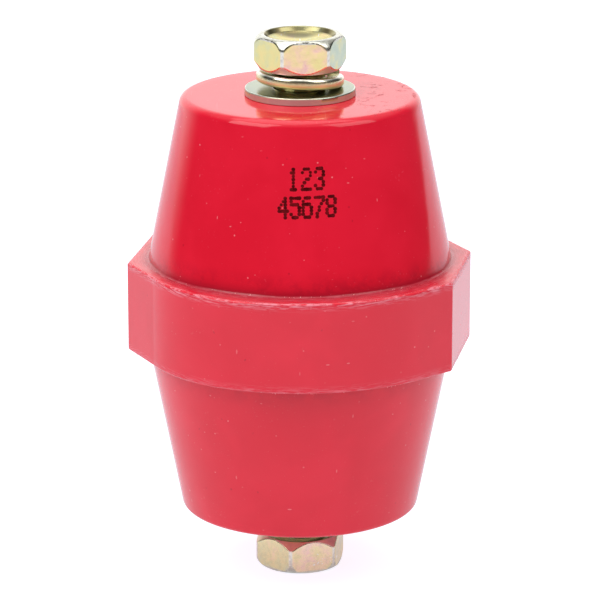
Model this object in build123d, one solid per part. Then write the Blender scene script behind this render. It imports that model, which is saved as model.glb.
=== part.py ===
from build123d import *
import os
from math import cos, radians, sin

# Stand-off insulator: a red moulded double cone with a gripping collar, a threaded
# metal insert at each end, and at each end an indented hexagon bolt that carries a
# spring washer and a flat washer. Millimetres, +Z up. The origin is on the
# insulator's axis at the level that the lower bolt head stands on.

# Moulded body
body_height = 60.0
end_radius = 16.75
middle_radius = 22.7
upper_end_rounding = 1.2
lower_end_rounding = 0.9

# Collar, a circle with two long flats, two short flats and two tangent flats
collar_height = 12.8
collar_radius = 24.45
collar_edge_rounding = 0.3
collar_root_rounding = 0.4
corner_rounding = 0.35
long_flat_front = (21.1, -13.7)
long_flat_back = (24.3, 3.2)
short_flat_back = (20.4, 11.2)
blend_point = (16.9, 16.95)
circle_start_deg = 63.8
circle_end_deg = 133.5

# Metal inserts, hexagonal bar with one retaining groove
insert_flats = 12.0
insert_length = 16.0
groove_radius = 5.2
groove_width = 2.5
groove_start = 6.5
bore_radius = 4.05
bore_depth = 14.0
mouth_radius = 4.6
moulding_gap = 0.02

# Bolts, M8 with a reduced neck that keeps the washers on
shank_radius = 4.0
shank_length = 16.0
neck_radius = 3.55
neck_length = 5.2
tip_chamfer = 0.8
head_flats = 11.6
head_corner_radius = 6.5
head_height = 4.8
head_rim_radius = 5.35
head_rim_drop = 1.5
bearing_radius = 5.72
bearing_chamfer = 1.15
dish_radius = 5.0
dish_floor_radius = 4.6
dish_wall = 0.6
dish_depth = 1.3
upper_head_turn_deg = 7.3
lower_head_turn_deg = 18.2

# Washers
flat_washer_radius = 7.8
flat_washer_hole = 3.75
flat_washer_thickness = 1.0
flat_washer_rounding = 0.15
spring_outer_radius = 6.15
spring_inner_radius = 3.9
spring_thickness = 1.6
spring_rounding = 0.15
spring_turn_share = 0.96
touch_gap = 0.03

# Heights of the two stacks, from the body's face to the head's bearing face
upper_stack = 3.85
lower_stack = 4.4

lower_face = head_height + lower_stack
upper_face = lower_face + body_height
middle = lower_face + body_height / 2


def opposite(point):
    """The point across the axis."""
    return (-point[0], -point[1])


def on_collar(angle_deg):
    """A point on the collar's full circle."""
    a = radians(angle_deg)
    return (collar_radius * cos(a), collar_radius * sin(a))


def half_collar(turn):
    """One side of the collar's outline; turn is the identity or opposite."""
    start, end = on_collar(circle_start_deg), on_collar(circle_end_deg)
    top = on_collar((circle_start_deg + circle_end_deg) / 2)
    return [
        Line(turn(long_flat_front), turn(long_flat_back)),
        Line(turn(long_flat_back), turn(short_flat_back)),
        ThreePointArc(turn(short_flat_back), turn(blend_point), turn(start)),
        ThreePointArc(turn(start), turn(top), turn(end)),
        Line(turn(end), opposite(turn(long_flat_front))),
    ]


def collar():
    """The gripping collar, with its upright corners and its rims rounded."""
    outline = half_collar(lambda p: p) + half_collar(opposite)
    plan = make_face(Wire(outline))
    corners = [long_flat_front, long_flat_back, short_flat_back]
    corners += [opposite(p) for p in corners]
    sharp = [
        v
        for v in plan.vertices()
        if any((v.X - x) ** 2 + (v.Y - y) ** 2 < 0.01 for x, y in corners)
    ]
    plan = fillet(sharp, corner_rounding)
    block = extrude(plan, collar_height)
    rims = block.faces().sort_by(Axis.Z)
    edges = rims[0].edges() + rims[-1].edges()
    block = fillet(edges, collar_edge_rounding)
    return Pos(0, 0, middle - collar_height / 2) * block


def hexagon(flats, height):
    """An upright hexagonal bar standing on the XY plane."""
    return extrude(RegularPolygon(flats / 2, 6, major_radius=False), height)


def insert_outside(gap):
    """The insert's outside, mouth at z = 0 and body below, grown by gap."""
    long = insert_length + gap
    bar = Pos(0, 0, -long) * hexagon(insert_flats + 2 * gap, long)
    width = groove_width - 2 * gap
    ring = Cylinder(insert_flats, width) - Cylinder(groove_radius + gap, width)
    return bar - Pos(0, 0, -groove_start - groove_width / 2) * ring


def insert_bore():
    """The threaded hole, plain at the major diameter, with a coned mouth and end."""
    profile = Polyline(
        (0, 1),
        (mouth_radius, 1),
        (mouth_radius, 0),
        (bore_radius, bore_radius - mouth_radius),
        (bore_radius, -bore_depth + 0.8),
        (0, -bore_depth - 0.5),
        close=True,
    )
    return turned(profile)


def turned(profile):
    """A profile in radius and height, revolved about Z."""
    return revolve(Plane.XZ * make_face(profile), Axis.Z)


def insulator_body():
    """The double cone and collar in one moulding, with a pocket for each insert."""
    half = body_height / 2
    profile = Polyline(
        (0, -half),
        (end_radius, -half),
        (middle_radius, 0),
        (end_radius, half),
        (0, half),
        close=True,
    )
    cones = Pos(0, 0, middle) * turned(profile)
    rims = cones.edges().filter_by(GeomType.CIRCLE).sort_by(Axis.Z)
    cones = fillet(rims[-1], upper_end_rounding)
    rims = cones.edges().filter_by(GeomType.CIRCLE).sort_by(Axis.Z)
    cones = fillet(rims[0], lower_end_rounding)
    body = cones + collar()
    roots = [
        e
        for e in body.edges().filter_by(GeomType.CIRCLE)
        if abs(abs(e.center().Z - middle) - collar_height / 2) < 0.01
        and end_radius < e.radius < middle_radius
    ]
    body = fillet(roots, collar_root_rounding)
    pocket = insert_outside(moulding_gap)
    return body - at_upper(pocket) - at_lower(pocket)


def at_upper(shape):
    """Stand a shape made for the upper face on that face."""
    return Pos(0, 0, upper_face) * shape


def at_lower(shape):
    """Hang the same shape under the lower face."""
    return Pos(0, 0, lower_face) * Rot(180, 0, 0) * shape


def insert():
    """One metal insert with its mouth at z = 0."""
    return insert_outside(0) - insert_bore()


def head_envelope():
    """The turned shape that rounds the hexagon's ends and corners."""
    r, h, rim, low = head_corner_radius, head_height, head_rim_radius, head_rim_drop
    on_arc = (rim + 0.68 * (r - rim), h - 0.36 * low)
    outline = [
        Line((0, 0), (bearing_radius, 0)),
        Line((bearing_radius, 0), (r, bearing_chamfer)),
        Line((r, bearing_chamfer), (r, h - low)),
        ThreePointArc((r, h - low), on_arc, (rim, h)),
        Line((rim, h), (0, h)),
        Line((0, h), (0, 0)),
    ]
    return turned(Wire(outline))


def dish():
    """The hollow in the head's end, a steep wall running into a shallow cone."""
    h, floor = head_height, head_height - dish_depth
    outline = [
        Line((0, floor), (0, h + 0.1)),
        Line((0, h + 0.1), (dish_radius, h + 0.1)),
        Line((dish_radius, h + 0.1), (dish_radius, h)),
        ThreePointArc(
            (dish_radius, h), (dish_radius - 0.12, h - 0.35), (dish_floor_radius, h - dish_wall)
        ),
        Line((dish_floor_radius, h - dish_wall), (0, floor)),
    ]
    return turned(Wire(outline))


def bolt(turn_deg):
    """Bolt with its bearing face at z = 0, head above and shank below."""
    bar = Rot(0, 0, turn_deg) * hexagon(head_flats, head_height)
    head = (bar & head_envelope()) - dish()
    step = shank_radius - neck_radius
    profile = Polyline(
        (0, 0.5),
        (neck_radius, 0.5),
        (neck_radius, -neck_length + step),
        (shank_radius, -neck_length),
        (shank_radius, -shank_length + tip_chamfer),
        (shank_radius - tip_chamfer, -shank_length),
        (0, -shank_length),
        close=True,
    )
    return head + turned(profile)


def flat_washer():
    """Flat washer lying on z = 0, its upper rim rounded by the punch."""
    ring = extrude(Circle(flat_washer_radius) - Circle(flat_washer_hole), flat_washer_thickness)
    rims = ring.edges().filter_by(GeomType.CIRCLE).filter_by_position(
        Axis.Z, flat_washer_thickness - 0.01, flat_washer_thickness + 0.01
    )
    return fillet(rims, flat_washer_rounding)


def spring_washer(rise, start_deg, lean_x_deg, lean_y_deg):
    """Split washer: a left-hand coil that leans as set, its lowest point at z = 0."""
    width = spring_outer_radius - spring_inner_radius
    mean = (spring_outer_radius + spring_inner_radius) / 2
    path = Helix(rise, rise * spring_turn_share, mean, lefthand=True)
    start = Plane(origin=path @ 0, x_dir=(1, 0, 0), z_dir=path % 0)
    section = start * RectangleRounded(width, spring_thickness, spring_rounding)
    coil = Rot(lean_x_deg, lean_y_deg, start_deg) * sweep(section, path, is_frenet=True)
    return Pos(0, 0, -coil.bounding_box().min.Z) * coil


def nodes():
    """Every piece in its place."""
    flat = Pos(0, 0, touch_gap) * flat_washer()
    on_flat = Pos(0, 0, flat_washer_thickness + 2 * touch_gap)
    upper_spring = spring_washer(1.12, 12, -3.2, 1.0)
    lower_spring = spring_washer(1.58, 200, 0, 0)
    return {
        "insulator_body": insulator_body(),
        "upper_insert": at_upper(insert()),
        "lower_insert": at_lower(insert()),
        "upper_bolt": at_upper(Pos(0, 0, upper_stack) * bolt(upper_head_turn_deg)),
        "lower_bolt": at_lower(Pos(0, 0, lower_stack) * bolt(-lower_head_turn_deg)),
        "upper_spring_washer": at_upper(on_flat * upper_spring),
        "lower_spring_washer": at_lower(on_flat * lower_spring),
        "upper_flat_washer": at_upper(flat),
        "lower_flat_washer": at_lower(flat),
    }


os.makedirs("parts", exist_ok=True)
for name, shape in nodes().items():
    export_step(shape, f"parts/{name}.step")
    box = shape.bounding_box()
    low = ", ".join(f"{v:.2f}" for v in box.min)
    high = ", ".join(f"{v:.2f}" for v in box.max)
    print(f"{name}: {shape.volume:.1f} mm3, {low} to {high}")
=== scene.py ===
# %% [markdown]
# A stand-off insulator holds a live copper bar away from the metal frame of a switchboard.
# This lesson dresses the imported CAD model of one: a red moulded double cone with a gripping
# collar, a brass insert in each end, and at each end a plated bolt with its two washers.
# Everything is in metres, in the CAD model's own frame, so no piece is ever fitted by eye.

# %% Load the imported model
import math

import bmesh
import bpy
import numpy as np
from mathutils import Matrix, Vector


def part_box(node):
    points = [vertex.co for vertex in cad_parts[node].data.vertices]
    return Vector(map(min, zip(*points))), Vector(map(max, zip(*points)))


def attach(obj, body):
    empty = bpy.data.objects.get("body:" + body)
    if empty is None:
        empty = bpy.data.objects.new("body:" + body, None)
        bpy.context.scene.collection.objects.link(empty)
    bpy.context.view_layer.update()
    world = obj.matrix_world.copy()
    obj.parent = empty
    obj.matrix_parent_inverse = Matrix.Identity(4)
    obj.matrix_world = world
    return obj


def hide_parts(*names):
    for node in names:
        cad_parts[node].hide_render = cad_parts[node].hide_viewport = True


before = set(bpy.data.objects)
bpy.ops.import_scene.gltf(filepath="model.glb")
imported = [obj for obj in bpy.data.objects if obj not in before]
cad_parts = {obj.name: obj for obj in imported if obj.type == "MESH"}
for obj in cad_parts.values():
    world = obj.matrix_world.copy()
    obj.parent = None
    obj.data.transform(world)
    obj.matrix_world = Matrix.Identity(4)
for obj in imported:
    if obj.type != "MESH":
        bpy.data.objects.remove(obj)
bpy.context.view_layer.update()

MM = 0.001
bpy.context.scene.view_settings.view_transform = "Standard"

# %% [markdown]
# Every size below is read from the CAD nodes or repeats a dimension of the CAD source. The
# upper end is the lower one turned over, so each end is described by two numbers: the height
# of the face its washers rest on, and whether its bolt points up or down.

# %% Sizes of the real pieces
body_low, body_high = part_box("insulator_body")
LOWER_FACE, UPPER_FACE = body_low.z, body_high.z
MIDDLE = (LOWER_FACE + UPPER_FACE) / 2
END_RADIUS, MIDDLE_RADIUS = 16.75 * MM, 22.7 * MM
BODY_HALF, COLLAR_HALF = 30 * MM, 6.4 * MM
UPPER_STACK, LOWER_STACK = 3.85 * MM, 4.4 * MM
PITCH, THREAD_DEPTH = 1.25 * MM, 0.6 * MM
print("faces at", round(LOWER_FACE / MM, 2), "and", round(UPPER_FACE / MM, 2), "mm")


# %% [markdown]
# Nearly every piece here is round or six-sided about one axis. Such a piece is easiest to
# build as a stack of rings: each ring is a loop of points, and neighbouring rings are joined
# by four-sided faces. A ring may follow a hexagon in one place and a circle in another, so
# one helper makes the cone, the bolts, the inserts and the washers, with tidy, even faces.

# %% Helpers that join rings into a closed mesh
def finish_piece(name, mesh, material, body, smooth_deg=32):
    """Wraps a mesh as a named piece on a CAD body, with outward faces and smooth shading."""
    work = bmesh.new()
    work.from_mesh(mesh)
    bmesh.ops.remove_doubles(work, verts=work.verts, dist=1e-7)
    if work.calc_volume(signed=True) < 0:
        bmesh.ops.reverse_faces(work, faces=work.faces)
    work.to_mesh(mesh)
    work.free()
    mesh.polygons.foreach_set("use_smooth", [True] * len(mesh.polygons))
    mesh.set_sharp_from_angle(angle=math.radians(smooth_deg))
    piece = bpy.data.objects.new(name, mesh)
    bpy.context.scene.collection.objects.link(piece)
    mesh.materials.clear()
    mesh.materials.append(material)
    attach(piece, body)
    triangles = sum(len(p.vertices) - 2 for p in mesh.polygons)
    print(name, "has", triangles, "triangles")
    return piece


def grid_faces(rows, columns, wrap_rows=False):
    """Four-sided faces over rows of points that close on themselves."""
    last = rows if wrap_rows else rows - 1
    i, j = np.meshgrid(np.arange(last), np.arange(columns), indexing="ij")
    up, right = (i + 1) % rows, (j + 1) % columns
    quads = [i * columns + j, i * columns + right, up * columns + right, up * columns + j]
    return np.stack(quads, -1).reshape(-1, 4).tolist()


def shell_from_rings(name, rings, wrap_rows=False):
    """A closed mesh through rings of points, capped at both ends unless the rows wrap."""
    rows, columns = rings.shape[:2]
    points = rings.reshape(-1, 3).tolist()
    faces = grid_faces(rows, columns, wrap_rows)
    if not wrap_rows:
        for row, turned in ((0, True), (rows - 1, False)):
            points.append(rings[row].mean(0).tolist())
            tip, base = len(points) - 1, row * columns
            for j in range(columns):
                a, b = base + j, base + (j + 1) % columns
                faces.append((b, a, tip) if turned else (a, b, tip))
    mesh = bpy.data.meshes.new(name)
    mesh.from_pydata(points, [], faces)
    return mesh


def rings_about_axis(angles, radii, heights):
    """Points for rows of radii and heights, each a number or one value per angle."""
    made = []
    for r, z in zip(radii, heights):
        r, z = np.broadcast_to(r, angles.shape), np.broadcast_to(z, angles.shape)
        made.append(np.stack([r * np.cos(angles), r * np.sin(angles), z], -1))
    return np.array(made)


def arc(centre, radius, start_deg, end_deg, steps):
    """Points (radius, height) along an arc, for a rounded edge."""
    a = np.radians(np.linspace(start_deg, end_deg, steps))
    return [(centre[0] + radius * math.cos(t), centre[1] + radius * math.sin(t)) for t in a]


def run(start, end, steps):
    """Points along a straight line, without its first."""
    way = np.array(end) - start
    return [tuple(np.array(start) + way * k / steps) for k in range(1, steps + 1)]


def hexagon_radius(angles, flats, turn_deg=0.0):
    """Distance from the axis to a hexagon's side, a corner lying at turn_deg."""
    a = np.degrees(angles) - turn_deg
    return flats / 2 / np.cos(np.radians((a % 60) - 30))


def soft_least(a, b, blend):
    """The smaller of two values, with the crossing eased over a small width."""
    h = np.clip(0.5 + 0.5 * (b - a) / blend, 0, 1)
    return b + (a - b) * h - blend * h * (1 - h)


# %% [markdown]
# Two kinds of node tree follow. A shader group is a small recipe that several materials
# share, such as flecks in the moulding or a film of colour on zinc. It gives out only masks
# and colours, and the Principled BSDF stays in each material, where it can be exported.

# %% Helpers for shader nodes
def new_group(name, inputs, outputs):
    """An empty shader group with named sockets; returns it with its end nodes."""
    group = bpy.data.node_groups.new(name, "ShaderNodeTree")
    for label, kind, value in inputs:
        socket = group.interface.new_socket(label, in_out="INPUT", socket_type=kind)
        if value is not None:
            socket.default_value = value
    for label, kind in outputs:
        group.interface.new_socket(label, in_out="OUTPUT", socket_type=kind)
    return group, group.nodes.new("NodeGroupInput"), group.nodes.new("NodeGroupOutput")


def link(tree, source, target):
    """Joins two sockets."""
    tree.links.new(source, target)


def feed(tree, value, target):
    """Links a socket to the target, or sets the target to a plain value."""
    if hasattr(value, "node"):
        link(tree, value, target)
    else:
        target.default_value = value


def maths(tree, kind, a, b=None, c=None, clamp=False):
    """A Math node; a, b and c are sockets or numbers. Returns its output."""
    node = tree.nodes.new("ShaderNodeMath")
    node.operation, node.use_clamp = kind, clamp
    for k, value in enumerate((a, b, c)):
        if value is not None:
            feed(tree, value, node.inputs[k])
    return node.outputs[0]


def times(tree, a, b, **options):
    """The product of two values."""
    return maths(tree, "MULTIPLY", a, b, **options)


def plus(tree, a, b, **options):
    """The sum of two values."""
    return maths(tree, "ADD", a, b, **options)


def split_xyz(tree, vector):
    """The three outputs x, y and z of a vector."""
    node = tree.nodes.new("ShaderNodeSeparateXYZ")
    link(tree, vector, node.inputs[0])
    return node.outputs


def combine_xyz(tree, *parts):
    """One vector from sockets or numbers x, y and z."""
    node = tree.nodes.new("ShaderNodeCombineXYZ")
    for value, target in zip(parts, node.inputs):
        feed(tree, value, target)
    return node.outputs[0]


def axis_distance(tree, x, y):
    """Distance from the upright axis."""
    return maths(tree, "SQRT", plus(tree, times(tree, x, x), times(tree, y, y)))


def smooth_step(tree, value, low, high, out_low=0.0, out_high=1.0):
    """A Map Range node with soft ends, from low..high to out_low..out_high."""
    node = tree.nodes.new("ShaderNodeMapRange")
    node.interpolation_type = "SMOOTHSTEP"
    link(tree, value, node.inputs["Value"])
    labels = ("From Min", "From Max", "To Min", "To Max")
    for label, number in zip(labels, (low, high, out_low, out_high)):
        node.inputs[label].default_value = number
    return node.outputs["Result"]


def noise(tree, vector, scale, detail=2.0, roughness=0.5, distortion=0.0):
    """A Noise Texture; scale is a socket or a number of waves per metre."""
    node = tree.nodes.new("ShaderNodeTexNoise")
    link(tree, vector, node.inputs["Vector"])
    feed(tree, scale, node.inputs["Scale"])
    node.inputs["Detail"].default_value = detail
    node.inputs["Roughness"].default_value = roughness
    node.inputs["Distortion"].default_value = distortion
    return node.outputs["Fac"]


def stretched(tree, vector, scale, turn=(0, 0, 0), shift=(0, 0, 0)):
    """The same coordinates stretched, turned and moved by a Mapping node."""
    node = tree.nodes.new("ShaderNodeMapping")
    link(tree, vector, node.inputs["Vector"])
    node.inputs["Scale"].default_value = scale
    node.inputs["Rotation"].default_value = [math.radians(v) for v in turn]
    node.inputs["Location"].default_value = shift
    return node.outputs["Vector"]


def colour_mix(tree, factor, a, b):
    """A colour Mix node; factor, a and b are sockets or plain values."""
    node = tree.nodes.new("ShaderNodeMix")
    node.data_type = "RGBA"
    feed(tree, factor, node.inputs[0])
    for key, value in ((6, a), (7, b)):
        feed(tree, value if hasattr(value, "node") else (*value, 1.0), node.inputs[key])
    return node.outputs[2]


def colour_ramp(tree, factor, stops):
    """A Color Ramp with stops (position, colour)."""
    node = tree.nodes.new("ShaderNodeValToRGB")
    ramp = node.color_ramp
    while len(ramp.elements) < len(stops):
        ramp.elements.new(0.5)
    for element, (position, colour) in zip(ramp.elements, stops):
        element.position, element.color = position, (*colour, 1.0)
    link(tree, factor, node.inputs["Fac"])
    return node.outputs["Color"]


def bumped(tree, height, distance, strength=1.0, under=None):
    """A Bump node; under is a normal that it adds to. Returns the normal."""
    node = tree.nodes.new("ShaderNodeBump")
    node.inputs["Distance"].default_value = distance
    node.inputs["Strength"].default_value = strength
    link(tree, height, node.inputs["Height"])
    if under is not None:
        link(tree, under, node.inputs["Normal"])
    return node.outputs["Normal"]


def new_material(name, **constants):
    """A material with a Principled BSDF; constants are set on its own sockets."""
    material = bpy.data.materials.new(name)
    material.use_nodes = True
    tree = material.node_tree
    tree.nodes.clear()
    shader = tree.nodes.new("ShaderNodeBsdfPrincipled")
    output = tree.nodes.new("ShaderNodeOutputMaterial")
    link(tree, shader.outputs["BSDF"], output.inputs["Surface"])
    for label, value in constants.items():
        shader.inputs[label.replace("_", " ")].default_value = value
    place = tree.nodes.new("ShaderNodeTexCoord").outputs["Object"]
    return material, tree, shader, place


def attribute(tree, name):
    """A number that the mesh carries."""
    node = tree.nodes.new("ShaderNodeAttribute")
    node.attribute_name = name
    return node.outputs["Fac"]


def run_round(tree, place, squeeze):
    """Coordinates that change slowly round the axis and fast across an edge."""
    x, y, z = split_xyz(tree, place)
    across = plus(tree, axis_distance(tree, x, y), z)
    return combine_xyz(tree, x, y, times(tree, across, squeeze))


def use_group(tree, group, **inputs):
    """Places a shader group; inputs are sockets or numbers, by label."""
    node = tree.nodes.new("ShaderNodeGroup")
    node.node_tree = group
    for label, value in inputs.items():
        feed(tree, value, node.inputs[label.replace("_", " ")])
    return node


# %% [markdown]
# The moulding compound is chopped glass fibre in red polyester. Close to, it shows pale
# specks and short fibre ends, a cloudy unevenness in the red, and fine rubs from handling.
# Each is one shader group, so the same recipe serves the body and the crumbs of flash.

# %% Groups for the moulded surface
def make_fleck_group():
    """Pale specks and short fibre ends, as one mask."""
    group, given, result = new_group(
        "fibre_flecks",
        [("Place", "NodeSocketVector", None), ("Specks per metre", "NodeSocketFloat", 900.0),
         ("Share", "NodeSocketFloat", 0.07)],
        [("Mask", "NodeSocketFloat")],
    )
    place, per_metre, share = [given.outputs[k] for k in range(3)]
    round_specks = ((1, 1, 1), (0, 0, 0), 0.16)
    fibres_one_way = ((1, 1, 0.3), (25, 40, 0), 0.13)
    fibres_another = ((0.3, 1, 1), (0, 30, 50), 0.12)
    masks = []
    for stretch, turn, size in (round_specks, fibres_one_way, fibres_another):
        spots = group.nodes.new("ShaderNodeTexVoronoi")
        spots.feature = "F1"
        along = stretched(group, place, stretch, turn, shift=(0.31, 0.17, 0.05))
        link(group, along, spots.inputs["Vector"])
        link(group, per_metre, spots.inputs["Scale"])
        spots.inputs["Randomness"].default_value = 1.0
        near = smooth_step(group, spots.outputs["Distance"], size * 0.55, size, 1.0, 0.0)
        cell = group.nodes.new("ShaderNodeSeparateColor")
        link(group, spots.outputs["Color"], cell.inputs[0])
        chosen = maths(group, "LESS_THAN", cell.outputs[0], share)
        strong = times(group, near, cell.outputs[1])
        masks.append(times(group, strong, chosen))
    both = maths(group, "MAXIMUM", masks[0], masks[1])
    link(group, maths(group, "MAXIMUM", both, masks[2]), result.inputs[0])
    return group


def make_cloud_group():
    """Soft patches about a centimetre across with finer ones inside them."""
    group, given, result = new_group(
        "cloudy_patches",
        [("Place", "NodeSocketVector", None), ("Patches per metre", "NodeSocketFloat", 90.0)],
        [("Mask", "NodeSocketFloat")],
    )
    place, per_metre = given.outputs[0], given.outputs[1]
    broad = noise(group, place, per_metre, detail=3.0, roughness=0.55, distortion=0.4)
    link(group, smooth_step(group, broad, 0.32, 0.7), result.inputs[0])
    return group


def make_rub_group():
    """Fine handling scratches in two directions, broken up into short lengths."""
    group, given, result = new_group(
        "handling_rubs",
        [("Place", "NodeSocketVector", None), ("Share", "NodeSocketFloat", 0.5)],
        [("Mask", "NodeSocketFloat")],
    )
    place, lines = given.outputs[0], []
    for turn, thin in (((20, 35, 10), 2600.0), ((-40, 15, 70), 3100.0)):
        along = stretched(group, place, (1.0, 0.035, 1.0), turn)
        fine = noise(group, along, thin, detail=0.0)
        lines.append(smooth_step(group, fine, 0.77, 0.83))
    patch = smooth_step(group, noise(group, place, 140.0, detail=1.0), 0.5, 0.66)
    both = maths(group, "MAXIMUM", lines[0], lines[1])
    broken = times(group, both, patch)
    link(group, times(group, broken, given.outputs[1]), result.inputs[0])
    return group


fleck_group, cloud_group, rub_group = make_fleck_group(), make_cloud_group(), make_rub_group()
print("groups:", [g.name for g in (fleck_group, cloud_group, rub_group)])


# %% [markdown]
# The red itself is one Principled BSDF. Its gloss is that of a part straight from a polished
# mould, so the roughness is low, a little higher in the cloudy patches and on the rubs. The
# mesh carries two numbers for it. The attribute rim is 1 on the collar's edges, where flash
# breaks off and leaves them paler; the pale streaks there are also a painted highlight, stronger
# on the upper rim. The other attribute is 1 in the corner between cone and collar, where it
# lays painted shade on the red. The upper face is darkened in blotches, most on its right side,
# partly by scuffs and partly as painted shade.

# %% The red moulding
def make_red_moulding():
    """Glossy glass-filled polyester, red right through."""
    material, tree, shader, place = new_material("red_moulding", IOR=1.5)
    cloud = use_group(tree, cloud_group, Place=place, Patches_per_metre=85.0).outputs[0]
    speckles = []
    for turn, per_metre, share in ((None, 1050.0, 0.10), ((70, 20, 10), 2300.0, 0.05),
                                   ((40, 10, 70), 760.0, 0.045)):
        turned = stretched(tree, place, (1, 1, 1), turn) if turn else place
        specks = use_group(tree, fleck_group, Place=turned, Specks_per_metre=per_metre, Share=share)
        speckles.append(specks.outputs[0])
    flecks, grains, pits = speckles
    rubs = use_group(tree, rub_group, Place=place, Share=0.5).outputs[0]
    rim, crease_shade = attribute(tree, "rim"), attribute(tree, "crease_shade")
    along_rim = run_round(tree, place, 14.0)
    streaks = smooth_step(tree, noise(tree, along_rim, 520.0, 3.0, 0.65), 0.43, 0.62)
    # Pale streaks on the collar rims: flash wear, and also a painted highlight.
    wear_and_painted_light = times(tree, rim, streaks, clamp=True)
    # Painted shade in the corner between cone and collar, broken up by noise.
    shade_mottle = smooth_step(tree, noise(tree, place, 420.0, 4.0, 0.7), 0.34, 0.62)
    darkening = maths(tree, "MAXIMUM", shade_mottle, crease_shade)
    painted_crease_shade = times(tree, maths(tree, "POWER", crease_shade, 0.75), darkening)
    # Blotchy darkening on the upper face, strongest on its right side: partly scuffs, partly
    # painted shade.
    x, _, z = split_xyz(tree, place)
    on_top = smooth_step(tree, z, UPPER_FACE - 0.4 * MM, UPPER_FACE - 0.05 * MM)
    toward_right = smooth_step(tree, x, 4 * MM, 13 * MM, 0.25, 1.0)
    blotch = smooth_step(tree, noise(tree, place, 520.0, 3.0, 0.62, 1.5), 0.54, 0.66)
    scuffs_and_shade = times(tree, times(tree, on_top, toward_right), blotch)
    red = colour_mix(tree, cloud, (0.74, 0.0095, 0.030), (0.80, 0.0125, 0.037))
    layers = (
        # painted shade in the corner between cone and collar
        (painted_crease_shade, 0.72, (0.34, 0.002, 0.020)),
        (pits, 0.45, (0.30, 0.004, 0.014)),
        (flecks, 0.60, (0.90, 0.30, 0.33)),
        (grains, 0.30, (0.90, 0.24, 0.28)),
        (rubs, 0.22, (0.88, 0.20, 0.24)),
        # pale rims: flash wear and painted highlight
        (wear_and_painted_light, 0.60, (0.95, 0.38, 0.46)),
        # scuffs and painted shade on the upper face
        (scuffs_and_shade, 0.75, (0.42, 0.006, 0.020)),
    )
    for mask, strength, colour in layers:
        red = colour_mix(tree, times(tree, mask, strength), red, colour)
    link(tree, red, shader.inputs["Base Color"])
    gloss = maths(tree, "MULTIPLY_ADD", cloud, 0.03, 0.075)
    for mask, amount in ((wear_and_painted_light, 0.3), (rubs, 0.15), (painted_crease_shade, 0.12), (scuffs_and_shade, 0.35)):
        gloss = plus(tree, gloss, times(tree, mask, amount), clamp=True)
    link(tree, gloss, shader.inputs["Roughness"])
    normal = bumped(tree, noise(tree, place, 130.0, detail=2.0), 0.00002)
    normal = bumped(tree, noise(tree, place, 900.0, detail=2.0), 0.0000012, 1.0, normal)
    normal = bumped(tree, wear_and_painted_light, 0.00003, 1.0, normal)
    normal = bumped(tree, flecks, 0.00001, 1.0, normal)
    link(tree, normal, shader.inputs["Normal"])
    return material


red_moulding = make_red_moulding()
print("material", red_moulding.name, "has", len(red_moulding.node_tree.nodes), "nodes")

# %% [markdown]
# The collar is not round. Seen from above it is a circle with two long flats for a spanner,
# two short flats beside them and two edges that run straight off the circle, and it looks the
# same after half a turn. A function that gives the outline's radius at any angle is all the
# stack of rings needs to change from cone to collar and back.

# %% The collar's outline
COLLAR_RADIUS = 24.45 * MM
FLAT_FRONT, FLAT_BACK = np.array([21.1, -13.7]) * MM, np.array([24.3, 3.2]) * MM
SHORT_BACK, BLEND = np.array([20.4, 11.2]) * MM, np.array([16.9, 16.95]) * MM
CIRCLE_START, CIRCLE_END = 63.8, 133.5


def at_angle(deg):
    """A point on the collar's full circle."""
    return COLLAR_RADIUS * np.array([math.cos(math.radians(deg)), math.sin(math.radians(deg))])


def bearing(point):
    """A point's angle about the axis, in degrees."""
    return math.degrees(math.atan2(point[1], point[0]))


def circle_through(a, b, c):
    """Centre and radius of the circle through three points."""
    system = 2 * np.array([b - a, c - a])
    centre = np.linalg.solve(system, [b @ b - a @ a, c @ c - a @ a])
    return centre, np.linalg.norm(a - centre)


blend_centre, blend_radius = circle_through(SHORT_BACK, BLEND, at_angle(CIRCLE_START))
CORNERS = [bearing(FLAT_FRONT), bearing(FLAT_BACK), bearing(SHORT_BACK)]


def radius_on_line(direction, a, b):
    """Where a ray from the axis meets the line through a and b."""
    across = np.array([b[1] - a[1], a[0] - b[0]])
    return (a @ across) / (direction @ across)


def collar_radius_at(deg):
    """The collar's radius at an angle."""
    turn = (deg - CORNERS[0]) % 180 + CORNERS[0]
    ray = np.array([math.cos(math.radians(turn)), math.sin(math.radians(turn))])
    if turn < CORNERS[1]:
        return radius_on_line(ray, FLAT_FRONT, FLAT_BACK)
    if turn < CORNERS[2]:
        return radius_on_line(ray, FLAT_BACK, SHORT_BACK)
    if turn < CIRCLE_START:
        along = ray @ blend_centre
        return along + math.sqrt(blend_radius**2 - blend_centre @ blend_centre + along**2)
    if turn < CIRCLE_END:
        return COLLAR_RADIUS
    return radius_on_line(ray, at_angle(CIRCLE_END), -FLAT_FRONT)


def body_angles():
    """Even angles, with three close together round each upright corner."""
    degrees = list(np.arange(0, 360, 1.2))
    for corner in CORNERS:
        for side in (corner, corner + 180):
            degrees = [d for d in degrees if abs((d - side + 180) % 360 - 180) > 0.55]
            degrees += [(side + step) % 360 for step in (-0.45, -0.15, 0.15, 0.45)]
    return np.radians(sorted(degrees))


ANGLES = body_angles()
COLLAR = np.array([collar_radius_at(math.degrees(a)) for a in ANGLES])
print("collar reaches", round(COLLAR.min() / MM, 2), "to", round(COLLAR.max() / MM, 2), "mm")


# %% [markdown]
# The body is one stack of rings. It starts in the pocket of the lower insert, comes out over
# the lower face, climbs the cone, steps out round the collar and goes the same way up to the
# other pocket. Each half is the mirror image of the other except for the rounding of its
# edge, so one function lists a half and is called twice.

# %% The insulator's body
POCKET_FLATS, POCKET_DEPTH = 12.04 * MM, 16.02 * MM
GROOVE_RADIUS, GROOVE_NEAR, GROOVE_FAR = 5.22 * MM, 6.52 * MM, 8.98 * MM
SLOPE = math.atan2(MIDDLE_RADIUS - END_RADIUS, BODY_HALF)


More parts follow.
